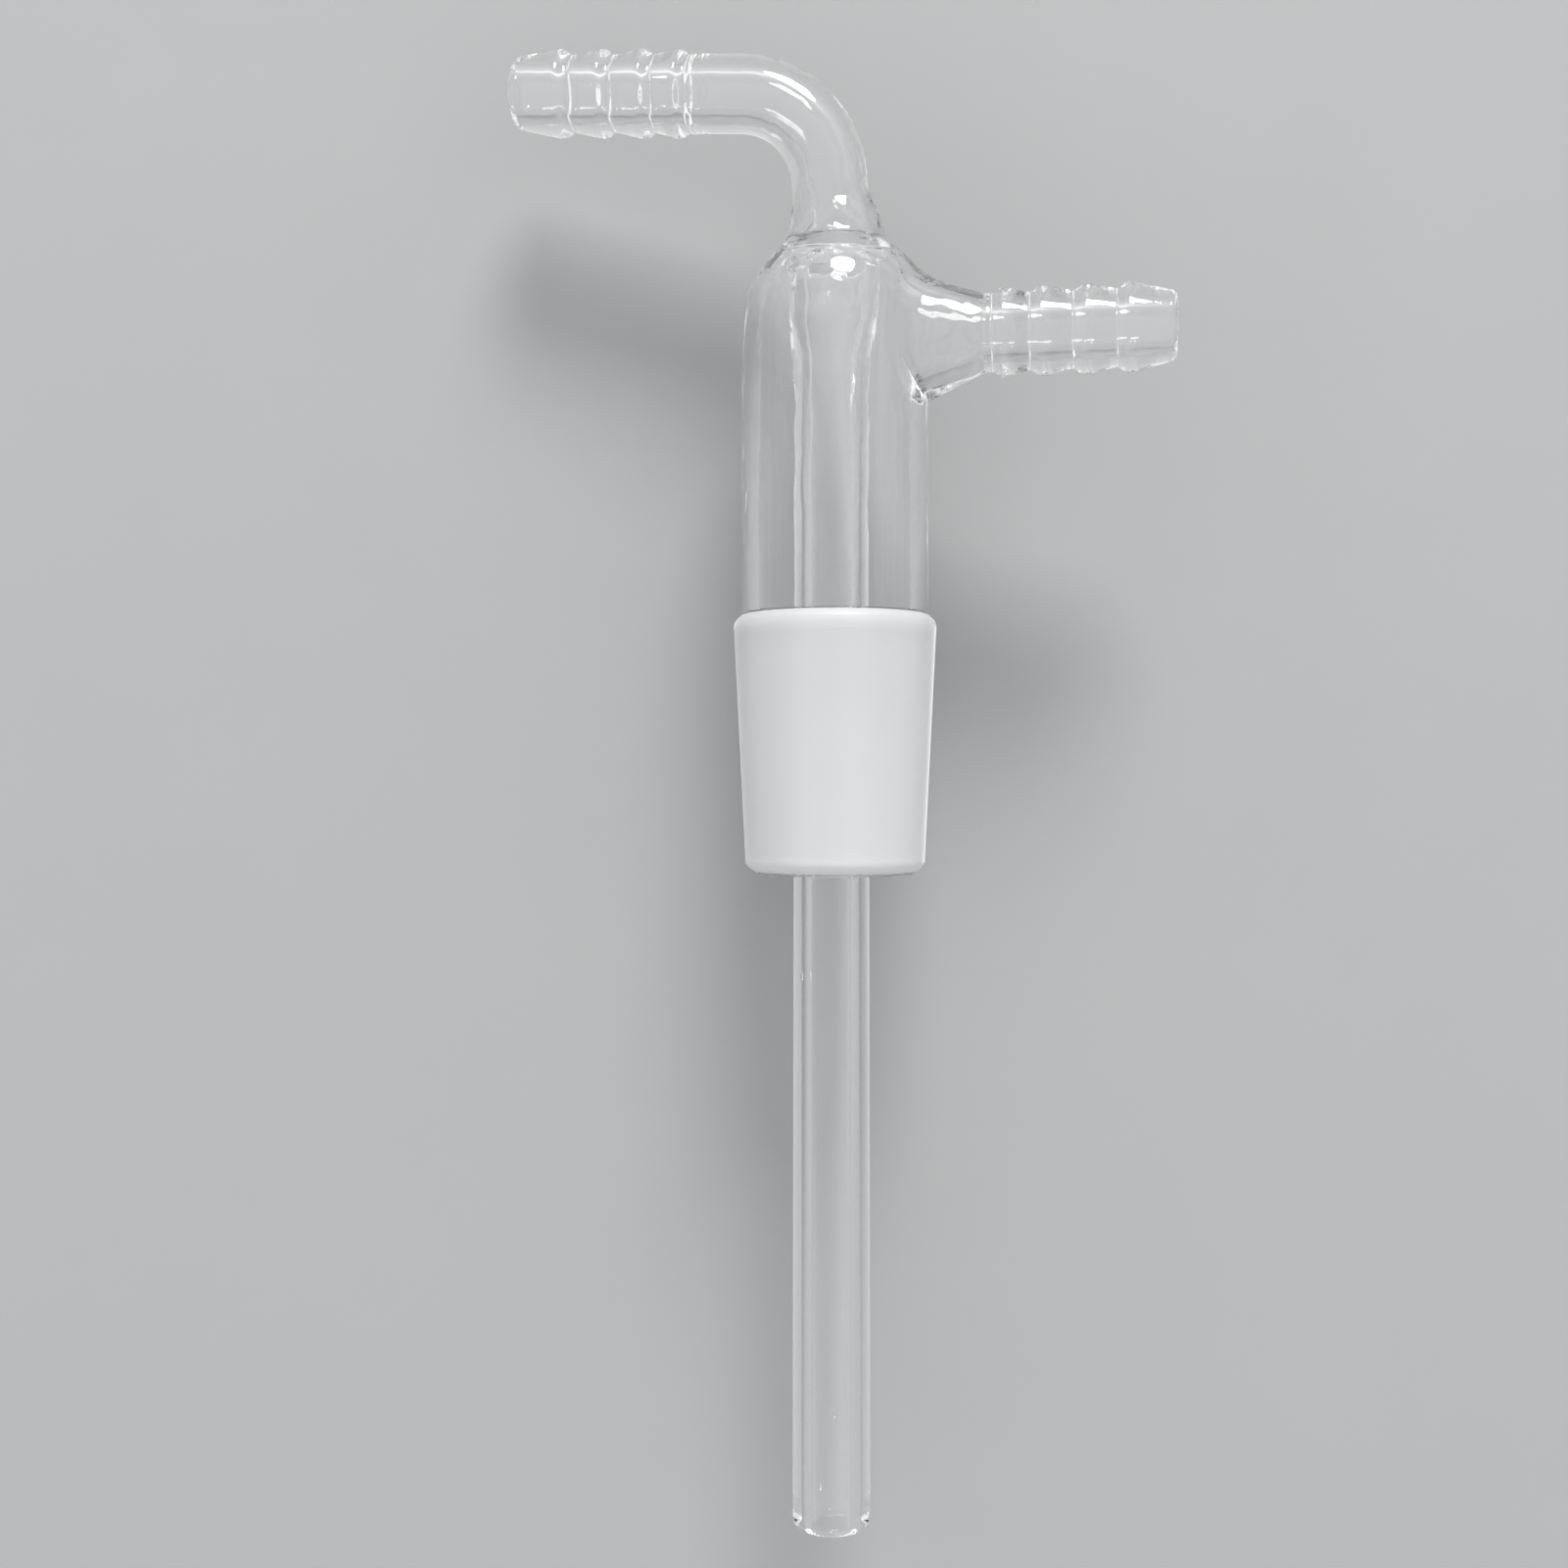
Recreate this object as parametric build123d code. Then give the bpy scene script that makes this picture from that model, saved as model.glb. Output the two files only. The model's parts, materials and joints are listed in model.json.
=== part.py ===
from build123d import *
import os
from math import cos, radians, sin, tan

# A gas inlet and outlet head with a ground joint, flame-worked from clear glass tube.
# Sizes are in millimetres. The origin is the centre of the cone's wide end. +Z runs up the body towards the
# inlet, the inlet's hose connection points to -X and the side arm's to +X.

# Ground cone: the standard 1 in 10 taper, with a bevel above it and a clear, fire-polished lip below it
CONE_MAJOR_R = 12.0
CONE_TAPER = 0.1
CONE_GROUND_LENGTH = 28.3
CONE_BEVEL_LENGTH = 1.1
CONE_LIP_LENGTH = 1.4
CONE_BORE_R = 9.0
CONE_RIM_R = 0.4

# Body tube and its shoulder: a rounded corner, then a straight slope up to the neck
BODY_R = 11.0
BODY_WALL = 2.0
BODY_LENGTH = 35.5
SHOULDER_R = 6.0
SHOULDER_SLOPE = 50.0
NECK_R = 6.0
RING_WELD_R = 7.6

# Dip tube: flared at the top, where it is sealed into the shoulder
DIP_R = 4.6
DIP_BORE_R = 2.4
DIP_LENGTH_BELOW_CONE = 106.9
DIP_FLARE_LENGTH = 13.5
DIP_FLARE_R = 5.8
NECK_BORE_R = 3.4
DIP_TIP_BORE_R = 2.3
DIP_TIP_LENGTH = 2.6

# Inlet: a flared foot on the neck, a slight lean, and a bend into a run that still rises a little
INLET_R = 4.55
INLET_BORE_R = 2.4
INLET_LEAN = 6.0
LEAN_BEND_R = 20.0
LEAN_START = 1.2
INLET_RISE = 18.9
INLET_BEND_R = 11.5
INLET_REACH = 16.58
INLET_TILT = 3.6

# Side arm: a level, flared take-off, round at the weld and taller than wide at the body
ARM_BELOW_SHOULDER = 3.05
ARM_LENGTH = 6.74
ARM_R = 4.5
ARM_BORE_R = 2.4
ARM_WALL = 1.8
ARM_FLARE_HALF_HEIGHT = 10.5
ARM_FLARE_HALF_WIDTH = 8.4
ARM_FLARE_DROP = 0.35
ARM_WAIST_SAG = 0.15

# Hose connections: ridges with a level crest, a steep step towards the weld and a long ramp towards the tip
CREST_LAND = 0.4
CREST_STEP = 0.6
INLET_BARB = {
    "weld_r": INLET_R,
    "bore_r": INLET_BORE_R,
    "crest_r": 5.05,
    "root_r": 4.39,
    "tip_r": 4.3,
    "first_crest": 2.08,
    "first_pitch": 4.28,
    "pitch": 5.1,
    "nose": 6.08,
}
OUTLET_BARB = {
    "weld_r": ARM_R,
    "bore_r": ARM_BORE_R,
    "crest_r": 5.05,
    "root_r": 4.35,
    "tip_r": 4.1,
    "first_crest": 1.97,
    "first_pitch": 4.35,
    "pitch": 5.0,
    "nose": 5.69,
}

# Places that follow from the sizes above, as (radius, height) where they are points
BODY_BORE_R = BODY_R - BODY_WALL
BODY_BOTTOM = CONE_BEVEL_LENGTH
SHOULDER_START = BODY_BOTTOM + BODY_LENGTH
ARM_HEIGHT = SHOULDER_START - ARM_BELOW_SHOULDER
ARM_REACH = BODY_R + ARM_LENGTH
RISE = tan(radians(SHOULDER_SLOPE))
NORMAL_R = sin(radians(SHOULDER_SLOPE))
NORMAL_Z = cos(radians(SHOULDER_SLOPE))


def on_shoulder(radius, depth=0.0):
    """The point of the shoulder's slope at a radius of its outer face, moved into the wall by a depth."""
    corner_r = BODY_R - SHOULDER_R + SHOULDER_R * NORMAL_R
    corner_z = SHOULDER_START + SHOULDER_R * NORMAL_Z
    height = corner_z + (corner_r - radius) * RISE
    return (radius - depth * NORMAL_R, height - depth * NORMAL_Z)


def shoulder_corner(depth, share):
    """A point of the shoulder's rounded corner: share 0 is its start on the body, 1 its end on the slope."""
    turn = radians(90 - SHOULDER_SLOPE) * share
    radius = SHOULDER_R - depth
    return (BODY_R - SHOULDER_R + radius * cos(turn), SHOULDER_START + radius * sin(turn))


NECK = on_shoulder(NECK_R)
INLET_HEIGHT = NECK[1] + INLET_RISE
RING_WELD_OUTSIDE = on_shoulder(RING_WELD_R)
RING_WELD_INSIDE = on_shoulder(RING_WELD_R, BODY_WALL)
DIP_TOP = RING_WELD_INSIDE[1] + (RING_WELD_INSIDE[0] - DIP_FLARE_R) * RISE


def turned(*edges):
    """A solid of revolution about Z, from edges that close an outline drawn as (radius, height)."""
    outline = [Plane.XZ * edge for edge in edges]
    return revolve(make_face(outline), Axis.Z)


def ground_cone():
    small_r = CONE_MAJOR_R - CONE_TAPER / 2 * CONE_GROUND_LENGTH
    lip_end = -CONE_GROUND_LENGTH - CONE_LIP_LENGTH
    rim_height = lip_end + CONE_RIM_R
    rim_outer_r = CONE_BORE_R + 2 * CONE_RIM_R
    wall = Polyline(
        (CONE_BORE_R, rim_height),
        (CONE_BORE_R, 0),
        (BODY_BORE_R, BODY_BOTTOM),
        (BODY_R, BODY_BOTTOM),
        (CONE_MAJOR_R, 0),
        (small_r, -CONE_GROUND_LENGTH),
        (rim_outer_r, rim_height),
    )
    rim = ThreePointArc(
        (rim_outer_r, rim_height),
        (CONE_BORE_R + CONE_RIM_R, lip_end),
        (CONE_BORE_R, rim_height),
    )
    return turned(wall, rim)


def body_envelope():
    """Everything inside the outer face of the body, its shoulder and the ring seal."""
    corner = [shoulder_corner(0, share) for share in (0, 0.5, 1)]
    return turned(
        Polyline((0, BODY_BOTTOM), (BODY_R, BODY_BOTTOM), corner[0]),
        ThreePointArc(*corner),
        Polyline(corner[2], NECK, (0, NECK[1]), (0, BODY_BOTTOM)),
    )


def body_tube():
    outside = [shoulder_corner(0, share) for share in (0, 0.5, 1)]
    inside = [shoulder_corner(BODY_WALL, share) for share in (1, 0.5, 0)]
    tube = turned(
        Polyline((BODY_BORE_R, BODY_BOTTOM), (BODY_R, BODY_BOTTOM), outside[0]),
        ThreePointArc(*outside),
        Polyline(outside[2], RING_WELD_OUTSIDE, RING_WELD_INSIDE, inside[0]),
        ThreePointArc(*inside),
        Line(inside[2], (BODY_BORE_R, BODY_BOTTOM)),
    )
    return tube - arm_horn(inner=True)


def ring_seal():
    return turned(
        Polyline(
            (NECK_BORE_R, DIP_TOP),
            (DIP_FLARE_R, DIP_TOP),
            RING_WELD_INSIDE,
            RING_WELD_OUTSIDE,
            NECK,
            (NECK_BORE_R, NECK[1]),
            (NECK_BORE_R, DIP_TOP),
        )
    )


def dip_tube():
    tip = -DIP_LENGTH_BELOW_CONE
    wall = DIP_R - DIP_BORE_R
    tip_start = tip + DIP_TIP_LENGTH
    rim_height = tip + wall / 2
    flare_start = DIP_TOP - DIP_FLARE_LENGTH
    outer_flare = Spline((DIP_R, flare_start), (DIP_FLARE_R, DIP_TOP), tangents=((0, 1), (0.04, 1)))
    inner_flare = Spline((NECK_BORE_R, DIP_TOP), (DIP_BORE_R, flare_start), tangents=((-0.04, -1), (0, -1)))
    return turned(
        Line((DIP_R, rim_height), (DIP_R, flare_start)),
        outer_flare,
        Line((DIP_FLARE_R, DIP_TOP), (NECK_BORE_R, DIP_TOP)),
        inner_flare,
        Polyline((DIP_BORE_R, flare_start), (DIP_BORE_R, tip_start), (DIP_TIP_BORE_R, rim_height)),
        ThreePointArc(
            (DIP_TIP_BORE_R, rim_height),
            ((DIP_TIP_BORE_R + DIP_R) / 2, tip),
            (DIP_R, rim_height),
        ),
    )


def foot_height():
    """The height where the flare at the inlet's foot has narrowed to the plain tube."""
    return NECK[1] + (NECK_R - INLET_R) / (1 - NORMAL_R) * NORMAL_Z


def inlet_foot():
    top = foot_height()
    rise = top - NECK[1]
    outer = Spline((NECK_R, NECK[1]), (INLET_R, top), tangents=((-1, RISE), (0, 1)))
    inner = Spline(
        (INLET_BORE_R, top),
        (NECK_BORE_R, NECK[1]),
        tangents=((0, -1), ((NECK_BORE_R - INLET_BORE_R) / rise, -1)),
    )
    return turned(
        Line((NECK_BORE_R, NECK[1]), (NECK_R, NECK[1])),
        outer,
        Line((INLET_R, top), (INLET_BORE_R, top)),
        inner,
    )


def bend_corner(lean_height):
    """Where the lean's line and the run's line cross, as (x, height)."""
    lean = tan(radians(INLET_LEAN))
    tilt = tan(radians(INLET_TILT))
    rise = (INLET_HEIGHT - lean_height - INLET_REACH * tilt) / (1 - lean * tilt)
    return (-rise * lean, lean_height + rise)


def inlet_bend():
    start = foot_height()
    lean_height = start + LEAN_START
    corner_x, corner_height = bend_corner(lean_height)
    route = FilletPolyline(
        (0, 0, start),
        (0, 0, lean_height),
        (corner_x, 0, corner_height),
        (-INLET_REACH, 0, INLET_HEIGHT),
        radius=(LEAN_BEND_R, INLET_BEND_R),
    )
    at_start = Plane((0, 0, start))
    outside = sweep(at_start * Circle(INLET_R), path=route)
    inside = sweep(at_start * Circle(INLET_BORE_R), path=route)
    return inlet_foot() + (outside - inside)


def arm_weld():
    """The plane of the weld between side arm and hose connection, facing out along the arm."""
    return Plane((ARM_REACH, 0, ARM_HEIGHT), x_dir=(0, 1, 0), z_dir=(1, 0, 0))


def arm_horn(inner=False):
    """The flared solid of the side arm, from its weld to well inside the body, or the bore through it."""
    end_x = BODY_R / 2
    mid_x = (ARM_REACH + end_x) / 2
    slope = (ARM_FLARE_HALF_HEIGHT - ARM_R) / (ARM_REACH - end_x)
    wall = ARM_WALL * (1 + slope**2) ** 0.5 if inner else 0.0
    weld_r = ARM_BORE_R if inner else ARM_R
    end_height = ARM_FLARE_HALF_HEIGHT - wall
    end_width = ARM_FLARE_HALF_WIDTH - wall
    mid_height = (ARM_R + ARM_FLARE_HALF_HEIGHT) / 2 - wall
    mid_width = (ARM_R + ARM_FLARE_HALF_WIDTH) / 2 - wall
    mid_z = ARM_HEIGHT - ARM_FLARE_DROP / 2 - ARM_WAIST_SAG
    end_z = ARM_HEIGHT - ARM_FLARE_DROP
    sections = [
        arm_weld() * Circle(weld_r),
        Plane((mid_x, 0, mid_z), x_dir=(0, 1, 0), z_dir=(1, 0, 0)) * Ellipse(mid_width, mid_height),
        Plane((end_x, 0, end_z), x_dir=(0, 1, 0), z_dir=(1, 0, 0)) * Ellipse(end_width, end_height),
    ]
    return loft(sections)


def side_arm():
    return arm_horn() - arm_horn(inner=True) - body_envelope()


def hose_barb(size):
    """A serrated hose connection about Z, from its weld at height 0 to its fire-polished tip."""
    crests = [size["first_crest"], size["first_crest"] + size["first_pitch"]]
    crests += [crests[-1] + size["pitch"], crests[-1] + 2 * size["pitch"]]
    length = crests[-1] + size["nose"]
    rim_height = length - (size["tip_r"] - size["bore_r"]) / 2
    points = [(size["bore_r"], 0), (size["weld_r"], 0)]
    for crest in crests:
        points += [
            (size["root_r"], crest - CREST_LAND / 2 - CREST_STEP),
            (size["crest_r"], crest - CREST_LAND / 2),
            (size["crest_r"], crest + CREST_LAND / 2),
        ]
    points += [(size["tip_r"], rim_height)]
    rim = ThreePointArc(
        (size["tip_r"], rim_height),
        ((size["tip_r"] + size["bore_r"]) / 2, length),
        (size["bore_r"], rim_height),
    )
    return turned(Polyline(*points), rim, Line((size["bore_r"], rim_height), (size["bore_r"], 0)))


def inlet_hose_barb():
    tilt = radians(INLET_TILT)
    weld = Plane((-INLET_REACH, 0, INLET_HEIGHT), x_dir=(0, 1, 0), z_dir=(-cos(tilt), 0, sin(tilt)))
    return weld * hose_barb(INLET_BARB)


def outlet_hose_barb():
    return arm_weld() * hose_barb(OUTLET_BARB)


os.makedirs("parts", exist_ok=True)
for make in (
    ground_cone,
    body_tube,
    ring_seal,
    dip_tube,
    inlet_bend,
    inlet_hose_barb,
    side_arm,
    outlet_hose_barb,
):
    export_step(make(), f"parts/{make.__name__}.step")
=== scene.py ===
"""The looks of a gas inlet and outlet head with a ground joint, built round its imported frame.

Every size is in metres. +Z runs up the body. The inlet's hose connection points to -X and the
side arm's to +X.
"""

import json
import math

import bmesh
import bpy
import numpy as np
from bpy.props import FloatProperty, FloatVectorProperty, PointerProperty
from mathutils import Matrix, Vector


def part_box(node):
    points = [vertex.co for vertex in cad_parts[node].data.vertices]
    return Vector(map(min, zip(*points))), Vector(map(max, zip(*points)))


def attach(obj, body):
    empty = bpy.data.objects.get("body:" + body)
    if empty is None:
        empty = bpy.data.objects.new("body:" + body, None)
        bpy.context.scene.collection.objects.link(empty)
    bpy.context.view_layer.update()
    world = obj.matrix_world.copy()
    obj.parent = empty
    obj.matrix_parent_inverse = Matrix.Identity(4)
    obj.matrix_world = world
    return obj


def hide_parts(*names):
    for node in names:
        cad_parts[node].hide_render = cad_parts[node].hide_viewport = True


bl_info = {
    "name": "Gas inlet and outlet head",
    "version": (1, 0, 0),
    "blender": (4, 5, 0),
    "location": "3D View > Sidebar > Glass head",
    "description": "Builds the flame-worked glass head of a gas washing bottle on its frame",
    "category": "Add Mesh",
}

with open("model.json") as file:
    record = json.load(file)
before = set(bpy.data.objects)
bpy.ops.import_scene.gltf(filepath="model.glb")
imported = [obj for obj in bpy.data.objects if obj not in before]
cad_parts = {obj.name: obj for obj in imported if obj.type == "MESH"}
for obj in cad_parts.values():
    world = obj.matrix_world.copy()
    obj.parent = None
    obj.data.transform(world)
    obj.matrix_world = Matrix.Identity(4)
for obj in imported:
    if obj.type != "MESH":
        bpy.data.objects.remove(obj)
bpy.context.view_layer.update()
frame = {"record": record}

MM = 0.001
CLEAR, FUSED, GROUND = 0, 1, 2
ROUND_STEPS = 192
FINE = 0.12 * MM
SAME_POINT = 0.002 * MM

CONE_LOW, CONE_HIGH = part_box("ground_cone")
BODY_LOW, BODY_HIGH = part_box("body_tube")
RING_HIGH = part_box("ring_seal")[1]
DIP_LOW, DIP_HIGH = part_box("dip_tube")
ARM_LOW, ARM_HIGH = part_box("side_arm")
MOUNTS = {mount["name"]: mount for mount in frame["record"]["mounts"]}
INLET_AXIS = Vector(MOUNTS["inlet_hose"]["axis"]).normalized()
INLET_CENTRE = Vector(MOUNTS["inlet_hose"]["pos_m"])
OUTLET_CENTRE = Vector(MOUNTS["outlet_hose"]["pos_m"])


def length(name, description, default):
    """A length that can't be negative."""
    return FloatProperty(
        name=name, description=description, default=default, min=0.0, unit="LENGTH", precision=5
    )


def offset(name, description, default):
    """A length that may also be negative."""
    return FloatProperty(
        name=name, description=description, default=default, unit="LENGTH", precision=5
    )


def colour(name, description, default):
    """A colour with its alpha."""
    return FloatVectorProperty(
        name=name,
        description=description,
        default=default,
        size=4,
        subtype="COLOR",
        min=0.0,
        max=1.0,
    )


class GLASSHEAD_PG_sizes(bpy.types.PropertyGroup):
    """Sizes of the glass that the frame doesn't give on its own."""

    body_wall: length("Body wall", "Wall of the body, its shoulder and the cone's top", 2.0 * MM)
    cone_bore: length("Cone bore", "Radius of the bore through the ground cone", 9.0 * MM)
    neck_bore: length("Neck bore", "Radius of the bore through the ring seal", 3.4 * MM)
    tube_bore: length("Tube bore", "Radius of the bore of inlet, side arm and dip tube", 2.4 * MM)
    tip_bore: length("Tip bore", "Radius of the opening at the dip tube's tip", 2.3 * MM)
    dip_radius: length("Dip tube", "Outer radius of the plain dip tube", 4.6 * MM)
    inlet_radius: length("Inlet tube", "Outer radius of the bent inlet tube", 4.55 * MM)
    arm_wall: length("Side arm wall", "Wall of the flared side arm", 1.8 * MM)
    arm_radius: length("Side arm end", "Outer radius of the side arm at its weld", 4.5 * MM)
    crest: length("Ridge crest", "Radius of the hose connections across their ridges", 5.2 * MM)
    root: length("Ridge root", "Radius of the hose connections between their ridges", 4.37 * MM)
    ridge_softness: length("Ridge softness", "How far the fire has rounded the ridges", 0.36 * MM)
    waviness: length("Waviness", "How far hand working has moved the glass by the seals", 0.14 * MM)


class GLASSHEAD_PG_finishes(bpy.types.PropertyGroup):
    """Colours and finishes of the glass and of the stage."""

    glass: colour("Clear glass", "Tint of the clear glass", (0.997, 0.999, 1.0, 1.0))
    ground: colour("Ground glass", "Tint of the ground joint", (0.97, 0.97, 0.98, 1.0))
    backdrop: colour("Backdrop", "Colour of the plain backdrop", (0.36, 0.36, 0.36, 1.0))
    index: FloatProperty(
        name="Index", description="Refractive index of the glass", default=1.473, min=1.0, max=3.0
    )


class GLASSHEAD_PG_stage(bpy.types.PropertyGroup):
    """Where the camera and the lights stand."""

    azimuth: FloatProperty(
        name="Azimuth",
        description="Turn of the camera about the body",
        default=math.radians(10),
        subtype="ANGLE",
    )
    distance: length("Distance", "From the body's axis to the camera", 225.0 * MM)
    camera_side: offset("Side step", "Camera's place to the side of the body", -6.03 * MM)
    camera_height: offset("Camera height", "Camera's height in the frame", -19.1 * MM)
    lens: FloatProperty(
        name="Lens",
        description="Focal length in millimetres",
        default=43.62,
        min=1.0,
        unit="CAMERA",
    )
    backdrop_gap: length("Backdrop", "From the body's axis back to the backdrop", 20.0 * MM)


def settings():
    """Everything that can be set, as the scene holds it."""
    return bpy.context.scene.glass_head


# ---------------------------------------------------------------- curves and surfaces


def through(points, step=FINE):
    """Closely spaced points on a smooth curve through the given ones."""
    points = np.array(points, float)
    along = np.concatenate([[0], np.cumsum(np.linalg.norm(np.diff(points, axis=0), axis=1))])
    secant = np.diff(points, axis=0) / np.diff(along)[:, None]
    before, after = secant[:-1], secant[1:]
    total = np.where(before + after == 0, 1, before + after)
    level = np.where(before * after > 0, 2 * before * after / total, 0)
    slope = np.concatenate([secant[:1], level, secant[-1:]])
    wanted = np.linspace(0, along[-1], max(8, int(along[-1] / step)) + 1)
    i = np.clip(np.searchsorted(along, wanted, side="right") - 1, 0, len(along) - 2)
    gap = (along[i + 1] - along[i])[:, None]
    t = (wanted - along[i])[:, None] / gap
    return (
        (2 * t**3 - 3 * t**2 + 1) * points[i]
        + (t**3 - 2 * t**2 + t) * gap * slope[i]
        + (3 * t**2 - 2 * t**3) * points[i + 1]
        + (t**3 - t**2) * gap * slope[i + 1]
    )


def softened(heights, radii, softness, step=FINE / 2):
    """A (radius, height) outline whose corners are rounded by averaging over a softness."""
    reach = int(3 * softness / step)
    h = np.linspace(heights[0], heights[-1], int((heights[-1] - heights[0]) / step) + 1)
    r = np.interp(h, heights, radii)
    weight = np.exp(-0.5 * (np.arange(-reach, reach + 1) * step / softness) ** 2)
    padded = np.concatenate([2 * r[0] - r[reach:0:-1], r, 2 * r[-1] - r[-2 : -reach - 2 : -1]])
    return np.column_stack([np.convolve(padded, weight / weight.sum(), mode="valid"), h])


def rim(outer, inner, bulge, steps=14):
    """The rounded edge between two (radius, height) points, which stands out by a bulge."""
    turn = np.linspace(0, math.pi, steps)[:, None]
    middle, half = (outer + inner) / 2, (outer - inner) / 2
    return middle + half * np.cos(turn) + np.array([0, bulge]) * np.sin(turn)


def spun(outline, steps=ROUND_STEPS):
    """The surface that a (radius, height) outline makes about Z, as rows of points round it."""
    turn = np.linspace(0, 2 * math.pi, steps, endpoint=False)
    r, h = outline[:, 0][:, None], outline[:, 1][:, None]
    return np.stack([r * np.cos(turn), r * np.sin(turn), h + 0 * turn], axis=-1)


def placed(grid, origin, axis):
    """A surface about Z, moved so that Z runs along an axis from an origin."""
    across = np.array([0.0, 1.0, 0.0])
    axis = np.array(axis)
    side = np.cross(across, axis)
    return np.array(origin) + grid[..., :1] * side + grid[..., 1:2] * across + grid[..., 2:] * axis


WAVE_COUNT = 26
WAVES = np.random.default_rng(7)
WAVE_WAY = WAVES.normal(size=(WAVE_COUNT, 3))
WAVE_WAY /= np.linalg.norm(WAVE_WAY, axis=1)[:, None]
WAVE_PUSH = WAVES.normal(size=(WAVE_COUNT, 3))
WAVE_PUSH /= np.linalg.norm(WAVE_PUSH, axis=1)[:, None]
WAVE_LENGTH = 1.3 * MM * (8 / 1.3) ** WAVES.uniform(0, 1, WAVE_COUNT)
WAVE_START = WAVES.uniform(0, 2 * math.pi, WAVE_COUNT)
FULL_WAVE = 9 * MM

SEAL_REACH = 6.5 * MM
DRAWN_SHARE, ARM_SHARE = 0.06, 0.4
WORKED_FROM, WORKED_OVER = 2 * MM, 12 * MM
SWELL_PLACE, SWELL_REACH = (8.4 * MM, 0, 42.6 * MM), 3.2 * MM
SWELL_WAY, SWELL_DEPTH = np.array([0.64, 0, 0.77]), 0.45 * MM
INNER_RADIUS = 5.75 * MM
HANG_START, HANG_OVER = 2.2 * MM, 14 * MM
HANG_ASIDE = -0.42 * MM


def near(points, centre, reach):
    """1 at a centre, fading to 0 away from it over a reach."""
    return np.exp(-((np.linalg.norm(points - np.array(centre), axis=-1) / reach) ** 2))[..., None]


def hand_worked(points):
    """Points moved a little, as the flame moves glass: most at the seals, least on drawn tube.

    The shoulder swells above the side arm, and the dip tube hangs slightly to one side.
    """
    amount = settings().sizes.waviness
    seal = (0, 0, RING_HIGH.z)
    arm = ((ARM_LOW.x + ARM_HIGH.x) / 2, 0, OUTLET_CENTRE.z)
    worked = DRAWN_SHARE + near(points, seal, SEAL_REACH)
    worked = worked + ARM_SHARE * near(points, arm, SEAL_REACH)
    worked = worked * np.clip((points[..., 2:] - WORKED_FROM) / WORKED_OVER, 0.0, 1.0)
    shift = np.zeros_like(points)
    for way, push, wave, start in zip(WAVE_WAY, WAVE_PUSH, WAVE_LENGTH, WAVE_START):
        phase = (points @ way)[..., None] * (2 * math.pi / wave) + start
        shift += push * np.sin(phase) * wave / FULL_WAVE
    swell = near(points, SWELL_PLACE, SWELL_REACH) * SWELL_WAY * SWELL_DEPTH
    inside = np.hypot(points[..., :1], points[..., 1:2]) < INNER_RADIUS
    hang = np.clip((RING_HIGH.z - HANG_START - points[..., 2:]) / HANG_OVER, 0.0, 1.0) * inside
    aside = hang * hang * (3 - 2 * hang) * np.array([HANG_ASIDE, 0, 0])
    return points + shift * worked * amount + swell + aside


def between(first, last, steps):
    """Evenly spaced points on the straight line from one point to another."""
    return np.linspace(first, last, steps + 1)


# ---------------------------------------------------------------- meshes


def seed_bubble(centre, radius, stretch=3.0):
    """A tiny closed surface inside the glass, facing inwards because air is inside it."""
    made = bmesh.new()
    bmesh.ops.create_icosphere(made, subdivisions=2, radius=radius)
    bmesh.ops.scale(made, vec=(1, 1, stretch), verts=made.verts)
    bmesh.ops.translate(made, vec=centre, verts=made.verts)
    bmesh.ops.reverse_faces(made, faces=made.faces)
    return made


def sewn(name, patches, materials, bubbles=()):
    """A piece from its surfaces, joined where they meet.

    Each patch is (rows of points, slot, whether the rows close round).
    """
    bm = bmesh.new()
    for grid, slot, closed in patches:
        grid = hand_worked(np.asarray(grid, float))
        rows, round_ = grid.shape[:2]
        verts = [[bm.verts.new(p) for p in row] for row in grid]
        for i in range(rows - 1):
            for j in range(round_ if closed else round_ - 1):
                k = (j + 1) % round_
                face = bm.faces.new((verts[i][j], verts[i][k], verts[i + 1][k], verts[i + 1][j]))
                face.material_index = slot
                face.smooth = True
    bmesh.ops.remove_doubles(bm, verts=bm.verts, dist=SAME_POINT)
    bmesh.ops.dissolve_degenerate(bm, edges=bm.edges, dist=SAME_POINT / 4)
    open_edges = sum(1 for e in bm.edges if not e.is_manifold)
    if open_edges:
        raise RuntimeError(f"{name} has {open_edges} edges that don't close")
    bmesh.ops.recalc_face_normals(bm, faces=bm.faces)
    for edge in bm.edges:
        slots = {face.material_index for face in edge.link_faces}
        edge.smooth = len(slots) == 1
    mesh = bpy.data.meshes.new(name)
    bm.to_mesh(mesh)
    bm.free()
    for bubble in bubbles:
        join = bmesh.new()
        join.from_mesh(mesh)
        scratch = bpy.data.meshes.new("bubble")
        bubble.to_mesh(scratch)
        bubble.free()
        for polygon in scratch.polygons:
            polygon.use_smooth = True
        join.from_mesh(scratch)
        join.to_mesh(mesh)
        join.free()
        bpy.data.meshes.remove(scratch)
    for material in materials:
        mesh.materials.append(material)
    piece = bpy.data.objects.new(name, mesh)
    bpy.context.scene.collection.objects.link(piece)
    return piece


def finish_piece(piece, node):
    """Lets a piece stand for its node and move with the frame's one body."""
    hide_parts(node)
    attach(piece, "root")


# ---------------------------------------------------------------- materials


def node_tree(material):
    """A material's node tree and its Principled shader."""
    material.use_nodes = True
    tree = material.node_tree
    return tree, tree.nodes["Principled BSDF"]


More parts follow.
